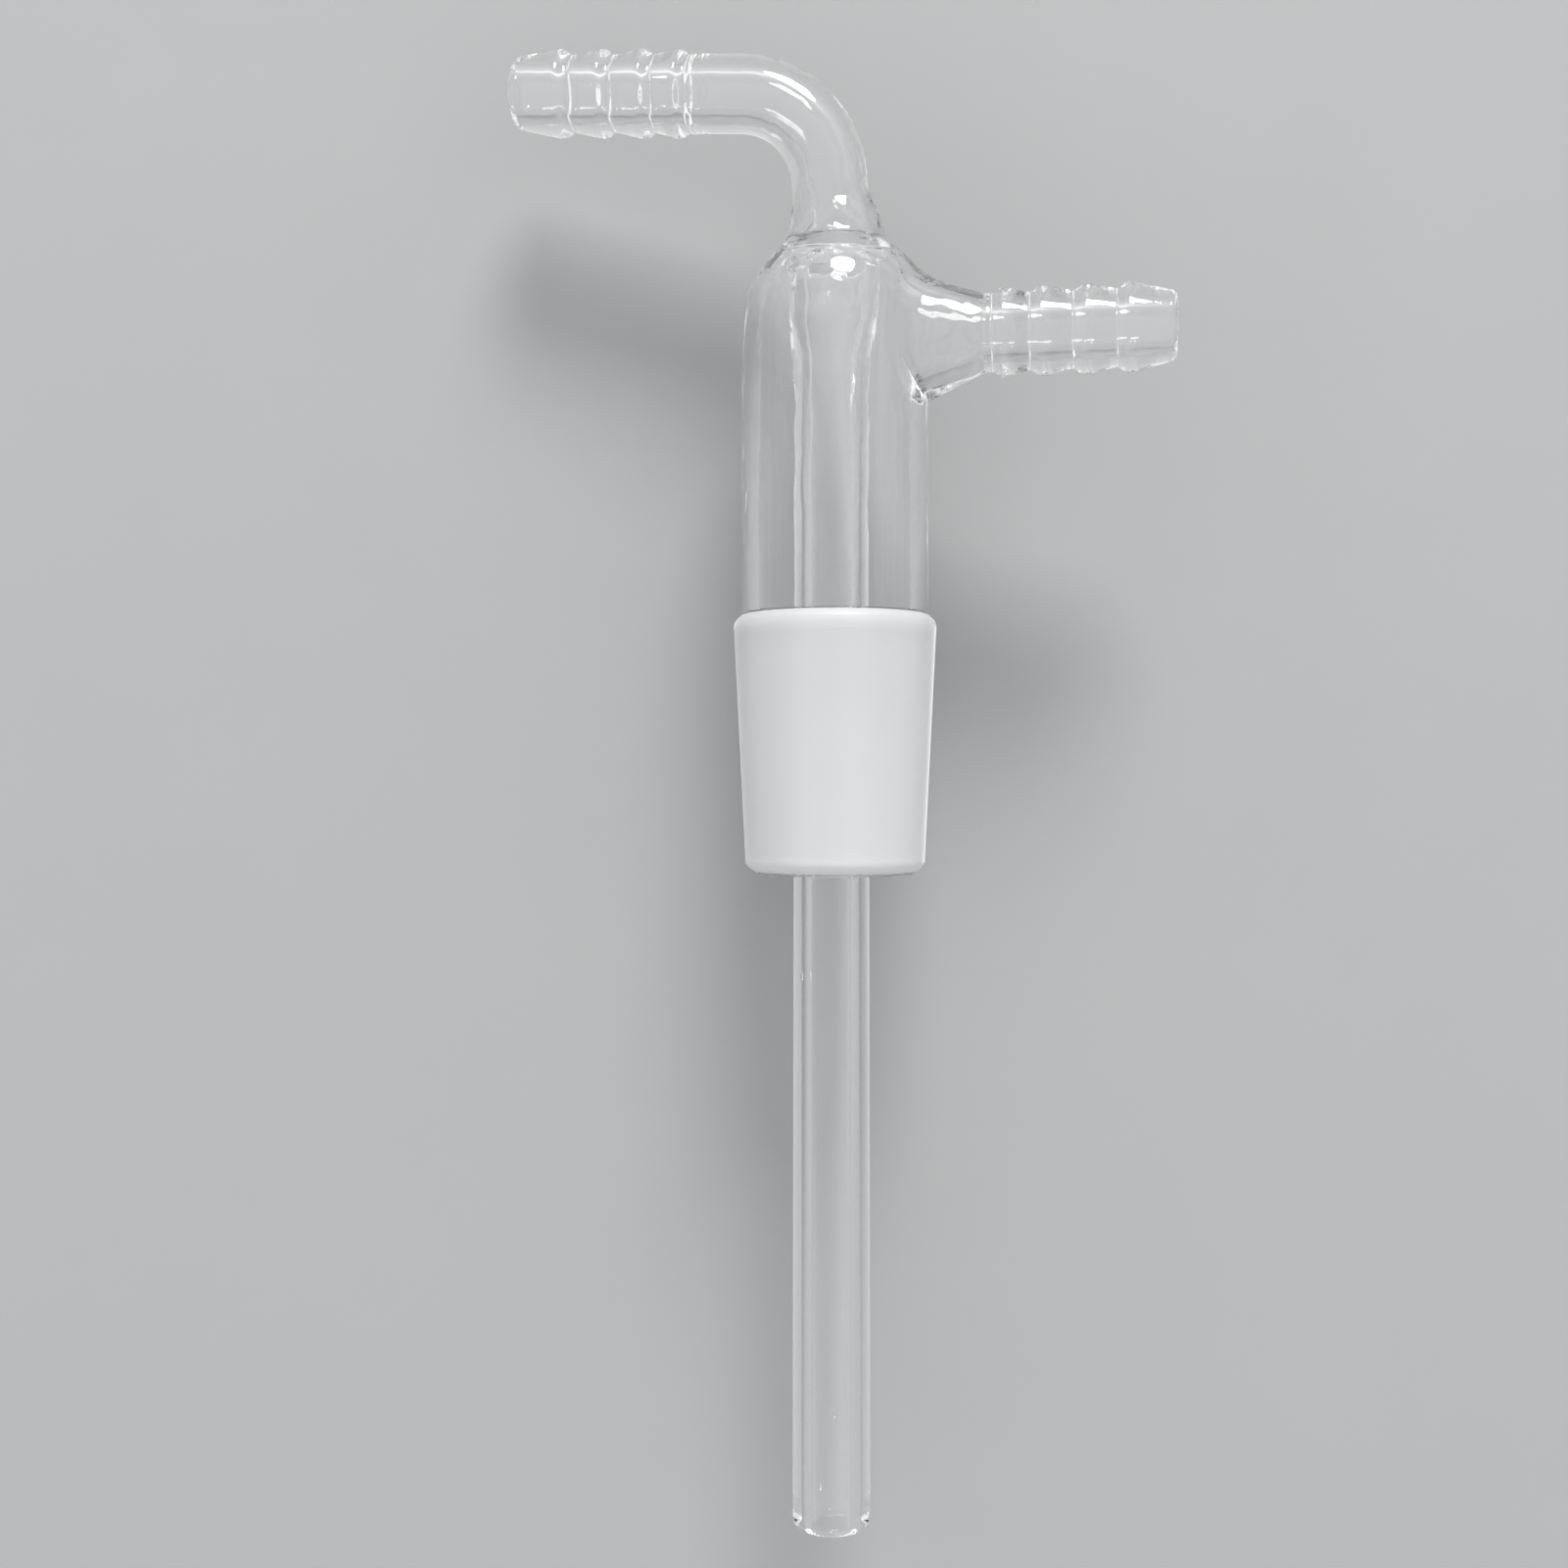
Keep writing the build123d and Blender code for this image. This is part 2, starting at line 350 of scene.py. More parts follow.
def surface_group():
    """The unevenness that all the glass shares: faint smears in the polish and a slow roll."""
    name = "Worked glass surface"
    if name in bpy.data.node_groups:
        return bpy.data.node_groups[name]
    group = bpy.data.node_groups.new(name, "ShaderNodeTree")
    for label, kind, default in (
        ("Grain size", "NodeSocketFloat", 400.0),
        ("Roll size", "NodeSocketFloat", 480.0),
        ("Lowest", "NodeSocketFloat", 0.0),
        ("Highest", "NodeSocketFloat", 0.03),
    ):
        socket = group.interface.new_socket(label, in_out="INPUT", socket_type=kind)
        socket.default_value = default
    group.interface.new_socket("Roughness", in_out="OUTPUT", socket_type="NodeSocketFloat")
    group.interface.new_socket("Height", in_out="OUTPUT", socket_type="NodeSocketFloat")
    nodes, links = group.nodes, group.links
    given, result = nodes.new("NodeGroupInput"), nodes.new("NodeGroupOutput")
    place = nodes.new("ShaderNodeTexCoord")
    grain, roll = nodes.new("ShaderNodeTexNoise"), nodes.new("ShaderNodeTexNoise")
    spread = nodes.new("ShaderNodeMapRange")
    grain.inputs["Detail"].default_value = 4
    roll.inputs["Detail"].default_value = 1
    links.new(place.outputs["Object"], grain.inputs["Vector"])
    links.new(place.outputs["Object"], roll.inputs["Vector"])
    links.new(given.outputs["Grain size"], grain.inputs["Scale"])
    links.new(given.outputs["Roll size"], roll.inputs["Scale"])
    links.new(grain.outputs["Fac"], spread.inputs["Value"])
    links.new(given.outputs["Lowest"], spread.inputs["To Min"])
    links.new(given.outputs["Highest"], spread.inputs["To Max"])
    links.new(spread.outputs["Result"], result.inputs["Roughness"])
    apart, depth = nodes.new("ShaderNodeSeparateXYZ"), nodes.new("ShaderNodeMapRange")
    depth.inputs["From Min"].default_value = -2 * MM
    depth.inputs["From Max"].default_value = 12 * MM
    depth.inputs["To Min"].default_value = 0.04
    flame = nodes.new("ShaderNodeMath")
    flame.operation = "MULTIPLY"
    links.new(place.outputs["Object"], apart.inputs["Vector"])
    links.new(apart.outputs["Z"], depth.inputs["Value"])
    links.new(roll.outputs["Fac"], flame.inputs[0])
    links.new(depth.outputs["Result"], flame.inputs[1])
    links.new(flame.outputs["Value"], result.inputs["Height"])
    return group


def clear_glass():
    """Fire-polished borosilicate glass."""
    made = bpy.data.materials.get("Clear glass")
    if made:
        return made
    made = bpy.data.materials.new("Clear glass")
    tree, shader = node_tree(made)
    shader.inputs["Base Color"].default_value = settings().finishes.glass
    shader.inputs["Transmission Weight"].default_value = 1.0
    shader.inputs["IOR"].default_value = settings().finishes.index
    worked, bump = tree.nodes.new("ShaderNodeGroup"), tree.nodes.new("ShaderNodeBump")
    worked.node_tree = surface_group()
    worked.inputs["Highest"].default_value = 0.02
    bump.inputs["Strength"].default_value = 1.0
    bump.inputs["Distance"].default_value = 0.022 * MM
    tree.links.new(worked.outputs["Roughness"], shader.inputs["Roughness"])
    tree.links.new(worked.outputs["Height"], bump.inputs["Height"])
    tree.links.new(bump.outputs["Normal"], shader.inputs["Normal"])
    return made


def ground_glass():
    """The matt face of the ground joint, with a painted glow at lip and top and painted shade
    below.
    """
    made = bpy.data.materials.get("Ground glass")
    if made:
        return made
    made = bpy.data.materials.new("Ground glass")
    tree, shader = node_tree(made)
    nodes, links = tree.nodes, tree.links
    # The base colour follows height and stands in for light: it is not a stain in the glass.
    place, apart = nodes.new("ShaderNodeTexCoord"), nodes.new("ShaderNodeSeparateXYZ")
    along, painted_light_ramp = nodes.new("ShaderNodeMapRange"), nodes.new("ShaderNodeValToRGB")
    along.inputs["From Min"].default_value = CONE_LOW.z
    along.inputs["From Max"].default_value = 0.0
    links.new(place.outputs["Object"], apart.inputs["Vector"])
    links.new(apart.outputs["Z"], along.inputs["Value"])
    links.new(along.outputs["Result"], painted_light_ramp.inputs["Fac"])
    links.new(painted_light_ramp.outputs["Color"], shader.inputs["Base Color"])
    ground = settings().finishes.ground
    # Painted light: a painted glow where light leaks out at the lip and the top edge, and a band of
    # painted shade just below the top.
    painted_light_stops = (
        (0.0, 1.03),
        (0.055, 1.02),
        (0.09, 0.965),
        (0.5, 0.965),
        (0.86, 0.94),
        (0.94, 0.90),
        (0.975, 1.0),
        (1.0, 1.03),
    )
    ramp = painted_light_ramp.color_ramp.elements
    for at, _ in painted_light_stops[1:-1]:
        ramp.new(at)
    for (_, shade), stop in zip(painted_light_stops, ramp):
        stop.color = [min(1.0, c * shade) for c in ground[:3]] + [1.0]
    shader.inputs["Transmission Weight"].default_value = 0.60
    shader.inputs["Sheen Weight"].default_value = 0.9
    shader.inputs["Sheen Roughness"].default_value = 0.25
    shader.inputs["IOR"].default_value = settings().finishes.index
    worked, bump = tree.nodes.new("ShaderNodeGroup"), tree.nodes.new("ShaderNodeBump")
    worked.node_tree = surface_group()
    worked.inputs["Grain size"].default_value = 900
    worked.inputs["Roll size"].default_value = 9000
    worked.inputs["Lowest"].default_value = 0.38
    worked.inputs["Highest"].default_value = 0.52
    bump.inputs["Strength"].default_value = 0.25
    bump.inputs["Distance"].default_value = 0.02 * MM
    tree.links.new(worked.outputs["Roughness"], shader.inputs["Roughness"])
    tree.links.new(worked.outputs["Height"], bump.inputs["Height"])
    tree.links.new(bump.outputs["Normal"], shader.inputs["Normal"])
    return made


def fused_weld():
    """The face where two pieces are one glass: nothing shows and light goes straight on."""
    made = bpy.data.materials.get("Fused weld")
    if made:
        return made
    made = bpy.data.materials.new("Fused weld")
    _, shader = node_tree(made)
    shader.inputs["Alpha"].default_value = 0.0
    return made


def glass_slots():
    """The materials of every piece, in the order of CLEAR, FUSED and GROUND."""
    return [clear_glass(), fused_weld(), ground_glass()]


# ---------------------------------------------------------------- shared outlines


def head_outline():
    """The outer face from the body's foot, over shoulder and seal, to the inlet.

    It is a list of (radius, height) points.
    """
    r, top, tube = BODY_HIGH.x, RING_HIGH.z, settings().sizes.inlet_radius
    return through(
        [
            (r, BODY_LOW.z),
            (r, top - 20 * MM),
            (r, top - 12 * MM),
            (r - 0.04 * MM, top - 10 * MM),
            (r - 0.40 * MM, top - 7.2 * MM),
            (r - 1.30 * MM, top - 4.4 * MM),
            (r - 2.40 * MM, top - 2.55 * MM),
            (RING_HIGH.x, top - 1.40 * MM),
            (RING_HIGH.x - 0.45 * MM, top - 0.88 * MM),
            (RING_HIGH.x - 1.00 * MM, top - 0.40 * MM),
            (tube + 1.55 * MM, top + 0.15 * MM),
            (tube + 1.30 * MM, top + 0.80 * MM),
            (tube + 1.08 * MM, top + 1.60 * MM),
            (tube + 0.72 * MM, top + 3.0 * MM),
            (tube + 0.32 * MM, top + 4.6 * MM),
            (tube, top + 6.6 * MM),
            (tube, top + 9.0 * MM),
        ],
        step=FINE / 2,
    )


def bore_outline():
    """The bore from the dip tube's tip, through the flare and the seal, to the inlet tube."""
    sizes = settings().sizes
    top, bore, neck = RING_HIGH.z, sizes.tube_bore, sizes.neck_bore
    rim_height = DIP_LOW.z + (sizes.dip_radius - sizes.tip_bore) / 2
    return through(
        [
            (sizes.tip_bore, rim_height),
            (bore - 0.03 * MM, rim_height + 1.7 * MM),
            (bore, rim_height + 3 * MM),
            (bore, top - 13.2 * MM),
            (bore + 0.12 * MM, top - 12.3 * MM),
            (neck - 0.55 * MM, top - 10.4 * MM),
            (neck - 0.12 * MM, top - 8.6 * MM),
            (neck, top - 6.6 * MM),
            (neck + 0.2 * MM, top - 4.4 * MM),
            (neck + 0.1 * MM, top - 2.2 * MM),
            (neck, top),
            (neck - 0.35 * MM, top + 1.8 * MM),
            (bore + 0.25 * MM, top + 3.9 * MM),
            (bore, top + 6.0 * MM),
            (bore, top + 9.0 * MM),
        ],
        step=2 * FINE,
    )


def cut_at(outline, height):
    """The two parts of a rising outline, below and above a height, with the point they share."""
    i = int(np.searchsorted(outline[:, 1], height))
    point = np.array([[np.interp(height, outline[:, 1], outline[:, 0]), height]])
    low, high = outline[:i], outline[i:]
    return np.concatenate([low, point]), np.concatenate([point, high])


def weld_height():
    """The height of the weld between body and ring seal, on the outer face."""
    return RING_HIGH.z - 1.40 * MM


def shoulder_line():
    """The outer face of the body from its foot to the ring weld, as (radius, height)."""
    return cut_at(head_outline(), weld_height())[0]


def inset(outline, depth):
    """An outline moved sideways into the wall by a depth."""
    way = np.gradient(outline, axis=0)
    way /= np.linalg.norm(way, axis=1)[:, None]
    return outline + np.column_stack([-way[:, 1], way[:, 0]]) * depth


def turned_wall(outer, inner, low_end, high_end, bulge):
    """Patches of a turned wall.

    An end is FUSED where another piece goes on, and CLEAR and rounded elsewhere.
    """
    patches = [(spun(outer), CLEAR, True), (spun(inner), CLEAR, True)]
    for end, i, way in ((low_end, 0, -1), (high_end, -1, 1)):
        if end == FUSED:
            patches.append((spun(np.array([outer[i], inner[i]])), FUSED, True))
        else:
            patches.append((spun(rim(outer[i], inner[i], way * bulge)), CLEAR, True))
    return patches


# ---------------------------------------------------------------- operators


CONE_LIP, CONE_RIM_R = 1.3 * MM, 0.3 * MM
TAPER_RUN = 10


class GLASSHEAD_OT_ground_cone(bpy.types.Operator):
    """Make the ground cone, matt from its lip to its rounded wide edge, with a clear bevel above"""

    bl_idname = "glasshead.ground_cone"
    bl_label = "Ground cone"

    def execute(self, context):
        sizes = settings().sizes
        bevel, wide = CONE_HIGH.z, CONE_HIGH.x
        ground_end = CONE_LOW.z + CONE_LIP
        small = wide + ground_end / (2 * TAPER_RUN)
        foot = CONE_LOW.z + CONE_RIM_R
        corner = through(
            [
                (wide - 0.85 * MM, 0.75 * MM),
                (wide - 0.20 * MM, 0.04 * MM),
                (wide - 0.04 * MM, -0.6 * MM),
            ]
        )
        taper = between(corner[-1], np.array([small, ground_end]), 60)
        ground = np.concatenate([corner, taper[1:]])
        lip = through(
            [
                (small, ground_end),
                (small - 0.3 * MM, ground_end - 0.45 * MM),
                (small - 1.1 * MM, foot),
            ]
        )
        above = through(
            [
                (BODY_HIGH.x, bevel),
                (BODY_HIGH.x + 0.04 * MM, bevel - 0.2 * MM),
                corner[0],
            ]
        )
        bore = through(
            [
                (sizes.cone_bore, foot),
                (sizes.cone_bore, -12 * MM),
                (BODY_HIGH.x - sizes.body_wall, bevel),
            ]
        )
        patches = [
            (spun(lip), GROUND, True),
            (spun(ground), GROUND, True),
            (spun(above), CLEAR, True),
            (spun(bore), CLEAR, True),
            (spun(rim(lip[-1], bore[0], -CONE_RIM_R)), CLEAR, True),
            (spun(np.array([above[0], bore[-1]])), FUSED, True),
        ]
        piece = sewn("Ground_cone", patches, glass_slots())
        finish_piece(piece, "ground_cone")
        return {"FINISHED"}


ARM_SIDE_STEPS, ARM_HEIGHT_STEPS = 48, 48
SLANT = 1.15
WINDOW_HALF_TURN = math.radians(60)
WINDOW_LOW, WINDOW_HIGH = ARM_LOW.z - 2.0 * MM, ARM_HIGH.z + 0.3 * MM


def arm_footprint(inner, angles):
    """Where the side arm's flare meets the body, seen along the arm as (y, z) at each angle."""
    wall = settings().sizes.arm_wall * SLANT if inner else 0.0
    middle = (ARM_LOW.z + ARM_HIGH.z) / 2
    high = (ARM_HIGH.z - ARM_LOW.z) / 2 - wall
    wide = ARM_HIGH.y - wall
    return wide * np.sin(angles), middle + high * np.cos(angles)


def on_body(outline, y, z):
    """The points of the body's face that stand behind (y, z), seen from the side arm."""
    r = np.interp(z, outline[:, 1], outline[:, 0])
    return np.stack([np.sqrt(np.maximum(r**2 - y**2, 0)), y, z], axis=-1)


def window_border(half_turn, low, high):
    """The edge of the body's window round the side arm as (turn, height), from its top centre."""
    turn = np.linspace(-half_turn, half_turn, 2 * ARM_SIDE_STEPS + 1)
    heights = np.linspace(low, high, 2 * ARM_HEIGHT_STEPS + 1)
    corners = [(t, high) for t in turn[ARM_SIDE_STEPS:]]
    corners += [(half_turn, z) for z in heights[::-1][1:]]
    corners += [(t, low) for t in turn[::-1][1:]]
    corners += [(-half_turn, z) for z in heights[1:]]
    corners += [(t, high) for t in turn[1:ARM_SIDE_STEPS]]
    return np.array(corners)


def arm_angles():
    """The angles round the side arm at which body and arm share points."""
    border = window_border(WINDOW_HALF_TURN, WINDOW_LOW, WINDOW_HIGH)
    middle, half = (WINDOW_LOW + WINDOW_HIGH) / 2, (WINDOW_HIGH - WINDOW_LOW) / 2
    return np.arctan2(border[:, 0] / WINDOW_HALF_TURN, (border[:, 1] - middle) / half)


def window_limits(outline, inner):
    """The heights between which the window lies, a little less on the inner face."""
    low, high = WINDOW_LOW, WINDOW_HIGH
    if inner:
        low, high = low + 1.2 * MM, min(high - 1.0 * MM, outline[-1, 1] - 0.1 * MM)
    return low, high


def body_face(inner):
    """The body's outer or inner face, with the side arm's window in it.

    It gives the patches, then the points of the top edge, the foot and the window's edge.
    """
    outline = shoulder_line()
    if inner:
        outline = inset(outline, settings().sizes.body_wall)
    low, high = window_limits(outline, inner)
    half = WINDOW_HALF_TURN
    border = window_border(half, low, high)
    y, z = arm_footprint(inner, arm_angles())
    print_turn = np.arctan2(y, np.sqrt(np.interp(z, outline[:, 1], outline[:, 0]) ** 2 - y**2))
    t = np.linspace(0, 1, 15)[:, None]
    turn = border[:, 0] * (1 - t) + print_turn * t
    height = border[:, 1] * (1 - t) + z * t
    r = np.interp(height, outline[:, 1], outline[:, 0])
    window = np.stack([r * np.cos(turn), r * np.sin(turn), height], axis=-1)
    turns = np.linspace(-half, half, 2 * ARM_SIDE_STEPS + 1)
    rest = np.linspace(half, 2 * math.pi - half, 4 * ARM_SIDE_STEPS + 1)
    full = np.concatenate([turns, rest[1:-1]])

    def face(turns, heights):
        r = np.interp(heights, outline[:, 1], outline[:, 0])[:, None]
        z = heights[:, None] + 0 * turns
        return np.stack([r * np.cos(turns), r * np.sin(turns), z], axis=-1)

    below = np.linspace(outline[0, 1], low, 80)
    beside = np.linspace(low, high, 2 * ARM_HEIGHT_STEPS + 1)
    above = np.linspace(high, outline[-1, 1], 10)
    patches = [
        (window, CLEAR, True),
        (face(full, below), CLEAR, True),
        (face(rest, beside), CLEAR, False),
        (face(full, above), CLEAR, True),
    ]
    return patches, face(full, above[-1:])[0], face(full, below[:1])[0], window[-1]


class GLASSHEAD_OT_body_tube(bpy.types.Operator):
    """Make the body with its domed shoulder and the window for the side arm"""

    bl_idname = "glasshead.body_tube"
    bl_label = "Body tube"

    def execute(self, context):
        outer, outer_top, outer_foot, outer_window = body_face(False)
        inner, inner_top, inner_foot, inner_window = body_face(True)
        ends = [
            (np.stack([outer_top, inner_top]), FUSED, True),
            (np.stack([outer_foot, inner_foot]), FUSED, True),
            (np.stack([outer_window, inner_window]), FUSED, True),
        ]
        piece = sewn("Body_tube", outer + inner + ends, glass_slots())
        finish_piece(piece, "body_tube")
        return {"FINISHED"}


def arm_face(inner):
    """The side arm's outer or inner face: lines from the round weld that land along the body."""
    sizes = settings().sizes
    outline = shoulder_line()
    if inner:
        outline = inset(outline, sizes.body_wall)
    angles = arm_angles()
    y, z = arm_footprint(inner, angles)
    foot = on_body(outline, y, z)
    radius = sizes.tube_bore if inner else sizes.arm_radius
    centre = OUTLET_CENTRE.z
    across, up = np.sin(angles), np.cos(angles)
    weld = np.stack([ARM_HIGH.x + 0 * angles, radius * across, centre + radius * up], axis=-1)
    slope = np.gradient(outline[:, 0], outline[:, 1])
    lean = np.interp(z, outline[:, 1], slope)
    normal = np.stack([foot[:, 0], foot[:, 1], -lean * np.hypot(foot[:, 0], foot[:, 1])], axis=-1)
    normal /= np.linalg.norm(normal, axis=1)[:, None]
    out = np.stack([0 * angles, across, up], axis=-1)
    out -= (out * normal).sum(1)[:, None] * normal
    out /= np.linalg.norm(out, axis=1)[:, None]
    flare = 0.42 - 0.10 * up
    leave = np.stack([-1 + 0 * angles, flare * across, flare * up], axis=-1)
    upward = (1 + up) / 2
    reach = np.linalg.norm(foot - weld, axis=1)
    start, end = reach * 0.85, reach * (0.32 + 0.65 * upward)
    t = np.linspace(0, 1, 61)[:, None, None]
    return (
        (2 * t**3 - 3 * t**2 + 1) * weld
        + (t**3 - 2 * t**2 + t) * leave * start[:, None]
        + (3 * t**2 - 2 * t**3) * foot
        + (t**3 - t**2) * out * end[:, None]
    )


class GLASSHEAD_OT_side_arm(bpy.types.Operator):
    """Make the flared side arm"""

    bl_idname = "glasshead.side_arm"
    bl_label = "Side arm"

    def execute(self, context):
        outer, inner = arm_face(False), arm_face(True)
        patches = [
            (outer, CLEAR, True),
            (inner, CLEAR, True),
            (np.stack([outer[0], inner[0]]), FUSED, True),
            (np.stack([outer[-1], inner[-1]]), FUSED, True),
        ]
        piece = sewn("Side_arm", patches, glass_slots())
        finish_piece(piece, "side_arm")
        return {"FINISHED"}


class GLASSHEAD_OT_ring_seal(bpy.types.Operator):
    """Make the ring of glass that holds the shoulder, the dip tube and the inlet together"""

    bl_idname = "glasshead.ring_seal"
    bl_label = "Ring seal"

    def execute(self, context):
        outside = cut_at(cut_at(head_outline(), RING_HIGH.z)[0], weld_height())[1]
        inside = cut_at(cut_at(bore_outline(), RING_HIGH.z)[0], DIP_HIGH.z)[1]
        under = inset(shoulder_line(), settings().sizes.body_wall)[-1]
        dip_top = dip_face()[-1]
        crest = under[1] + 0.32 * MM
        crotch = through(
            [
                under,
                (under[0] * 0.75 + dip_top[0] * 0.25, crest - 0.03 * MM),
                ((under[0] + dip_top[0]) / 2, crest),
                (under[0] * 0.25 + dip_top[0] * 0.75, crest - 0.08 * MM),
                dip_top,
            ],
            step=FINE / 3,
        )
        patches = [
            (spun(outside), CLEAR, True),
            (spun(inside), CLEAR, True),
            (spun(crotch), CLEAR, True),
            (spun(np.array([outside[0], under])), FUSED, True),
            (spun(np.array([outside[-1], inside[-1]])), FUSED, True),
            (spun(np.array([dip_top, inside[0]])), FUSED, True),
        ]
        piece = sewn("Ring_seal", patches, glass_slots())
        finish_piece(piece, "ring_seal")
        return {"FINISHED"}


def dip_face():
    """The dip tube's outer face from its tip to the seal, as (radius, height)."""
    r, top = settings().sizes.dip_radius, DIP_HIGH.z
    rim_height = DIP_LOW.z + (r - settings().sizes.tip_bore) / 2
    return through(
        [
            (r, rim_height),
            (r, rim_height + 8 * MM),
            (r - 0.10 * MM, CONE_LOW.z),
            (r - 0.20 * MM, top - 30 * MM),
            (r - 0.20 * MM, top - 17 * MM),
            (r - 0.02 * MM, top - 12 * MM),
            (r + 0.40 * MM, top - 8.2 * MM),
            (r + 0.78 * MM, top - 4.5 * MM),
            (r + 0.80 * MM, top - 1.7 * MM),
            (r + 0.72 * MM, top),
        ],
        step=2 * FINE,
    )


class GLASSHEAD_OT_dip_tube(bpy.types.Operator):
    """Make the dip tube with its flared top, fire-polished tip and a few seed bubbles"""

    bl_idname = "glasshead.dip_tube"
    bl_label = "Dip tube"

    def execute(self, context):
        sizes = settings().sizes
        outer = dip_face()
        inner = cut_at(bore_outline(), DIP_HIGH.z)[0]
        patches = turned_wall(outer, inner, CLEAR, FUSED, (sizes.dip_radius - sizes.tip_bore) / 2)
        middle = (sizes.dip_radius + sizes.tube_bore) / 2
        bubbles = [
            seed_bubble((middle * math.sin(turn), -middle * math.cos(turn), height), size)
            for turn, height, size in (
                (math.radians(-62), -41.7 * MM, 0.16 * MM),
                (math.radians(-50), -14.0 * MM, 0.12 * MM),
                (math.radians(8), -92.5 * MM, 0.15 * MM),
                (math.radians(-18), -101.0 * MM, 0.14 * MM),
            )
        ]
        piece = sewn("Dip_tube", patches, glass_slots(), bubbles)
        finish_piece(piece, "dip_tube")
        return {"FINISHED"}


INLET_LEAN, INLET_BEND_R = math.radians(6.0), 11.5 * MM


def inlet_route():
    """The centre line of the inlet from the neck to its weld, as points in the XZ plane."""
    weld = INLET_CENTRE - INLET_AXIS * inlet_weld_to_mount()
    start = np.array([0.0, RING_HIGH.z + 1.4 * MM])
    up = np.array([-math.sin(INLET_LEAN), math.cos(INLET_LEAN)])
    out = np.array([INLET_AXIS.x, INLET_AXIS.z])
    end = np.array([weld.x, weld.z])
    along_up = np.linalg.solve(np.column_stack([up, -out]), end - start)[0]
    corner = start + up * along_up
    angle = math.acos(float(up @ out))
    tangent = INLET_BEND_R * math.tan(angle / 2)
    begin, finish = corner - up * tangent, corner + out * tangent
    side = np.array([-up[1], up[0]])
    centre = begin + side * INLET_BEND_R
    turns = np.linspace(0, angle, 90)[:, None]
    arc = centre - side * np.cos(turns) * INLET_BEND_R + up * np.sin(turns) * INLET_BEND_R
    foot = through([(0, RING_HIGH.z), (0, RING_HIGH.z + 0.7 * MM), start + up * 1.2 * MM])
    straight = between(foot[-1], begin, 24)
    run = between(finish, end, 40)
    return np.concatenate([foot, straight[1:], arc[1:], run[1:]])


def inlet_weld_to_mount():
    """From the inlet's weld to the middle of its ridges."""
    ridges = INLET_RIDGES
    return ridges["first"] + (ridges["first_gap"] + 2 * ridges["gap"]) / 2


INLET_RIDGES = {
    "first": 2.08 * MM,
    "first_gap": 4.28 * MM,
    "gap": 5.1 * MM,
    "nose": 6.08 * MM,
    "tip": 4.3 * MM,
}
OUTLET_RIDGES = {
    "first": 1.97 * MM,
    "first_gap": 4.35 * MM,
    "gap": 5.0 * MM,
    "nose": 5.69 * MM,
    "tip": 4.12 * MM,
}
RIDGE_RISE, RIDGE_HALF_CREST = 0.85 * MM, 0.25 * MM


class GLASSHEAD_OT_inlet_bend(bpy.types.Operator):
    """Make the inlet tube: a flared foot, a lean and the bend"""

    bl_idname = "glasshead.inlet_bend"
    bl_label = "Inlet bend"

    def execute(self, context):
        route = inlet_route()
        gone = np.concatenate([[0], np.cumsum(np.linalg.norm(np.diff(route, axis=0), axis=1))])
        way = np.gradient(route, gone, axis=0)
        way[0] = (0, 1)
        way /= np.linalg.norm(way, axis=1)[:, None]
        side = np.column_stack([way[:, 1], -way[:, 0]])
        turn = np.linspace(0, 2 * math.pi, ROUND_STEPS, endpoint=False)

        def face(outline):
            r = np.interp(gone + RING_HIGH.z, outline[:, 1], outline[:, 0])[:, None]
            across, deep = r * np.cos(turn), r * np.sin(turn)
            x = route[:, :1] + side[:, :1] * across
            z = route[:, 1:] + side[:, 1:] * across
            return np.stack([x, deep, z], axis=-1)

        outer, inner = face(head_outline()), face(bore_outline())
        patches = [
            (outer, CLEAR, True),
            (inner, CLEAR, True),
            (np.stack([outer[0], inner[0]]), FUSED, True),
            (np.stack([outer[-1], inner[-1]]), FUSED, True),
        ]
        piece = sewn("Inlet_bend", patches, glass_slots())
        finish_piece(piece, "inlet_bend")
        return {"FINISHED"}


class GLASSHEAD_OT_hose_barbs(bpy.types.Operator):
    """Make the two serrated hose connections"""

    bl_idname = "glasshead.hose_barbs"
    bl_label = "Hose connections"

    def make(self, name, node, ridges, origin, axis, weld_r):
        """Make one hose connection from its ridges, where it starts and the way it points."""
        sizes = settings().sizes
        crests = ridges["first"] + np.array([0, ridges["first_gap"], 0, 0])
        crests[2:] = crests[1] + ridges["gap"] * np.array([1, 2])
        end = crests[-1] + ridges["nose"]
        edge = (ridges["tip"] - sizes.tube_bore) / 2
        bead = 0.3 * MM
        heights, radii = [0.0, bead, 2 * bead], [weld_r, weld_r + bead, weld_r - 0.05 * MM]
        for crest in crests:
            heights += [crest - RIDGE_RISE, crest - RIDGE_HALF_CREST, crest + RIDGE_HALF_CREST]
            radii += [sizes.root, sizes.crest, sizes.crest]
        heights.append(end - edge)
        radii.append(ridges["tip"])
        outer = softened(heights, radii, sizes.ridge_softness)
        outer[0, 0] = weld_r
        inner = np.column_stack([np.full(60, sizes.tube_bore), np.linspace(0, end - edge, 60)])
        patches = turned_wall(outer, inner, FUSED, CLEAR, edge)
        patches = [(placed(grid, origin, axis), slot, closed) for grid, slot, closed in patches]
        piece = sewn(name, patches, glass_slots())
        finish_piece(piece, node)

    def execute(self, context):
        sizes = settings().sizes
        inlet_weld = INLET_CENTRE - INLET_AXIS * inlet_weld_to_mount()
        self.make(
            "Inlet_hose_connection",
            "inlet_hose_barb",
            INLET_RIDGES,
            inlet_weld,
            INLET_AXIS,
            sizes.inlet_radius,
        )
        outlet_weld = Vector((ARM_HIGH.x, 0, OUTLET_CENTRE.z))
        self.make(
            "Outlet_hose_connection",
            "outlet_hose_barb",
            OUTLET_RIDGES,
            outlet_weld,
            Vector((1, 0, 0)),
            sizes.arm_radius,
        )
        return {"FINISHED"}


